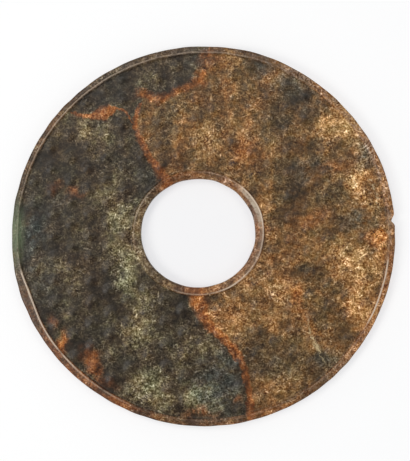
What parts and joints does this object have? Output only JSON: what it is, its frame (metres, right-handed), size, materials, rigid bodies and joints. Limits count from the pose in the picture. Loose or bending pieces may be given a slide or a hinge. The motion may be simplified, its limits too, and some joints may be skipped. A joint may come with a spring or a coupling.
{
  "type": "jade bi disc",
  "caption": "Flat round ritual disc of mottled brown and green jade with a central hole, raised rims and rows of low grain bosses.",
  "frame": {"origin": "centre of the bounding box at the underside, on the surface that the disc lies on", "axes": "+Z out of the upper face, +X towards the chipped side of the outer edge, +Y so that the dark green half is on the -X side"},
  "size_m": [0.1506, 0.1494, 0.0055],
  "materials": {
    "jade": "polished, mottled dark green and golden brown with rust veins"
  },
  "bodies": {
    "root": {"jade_disc": "jade"}
  },
  "joints": []
}
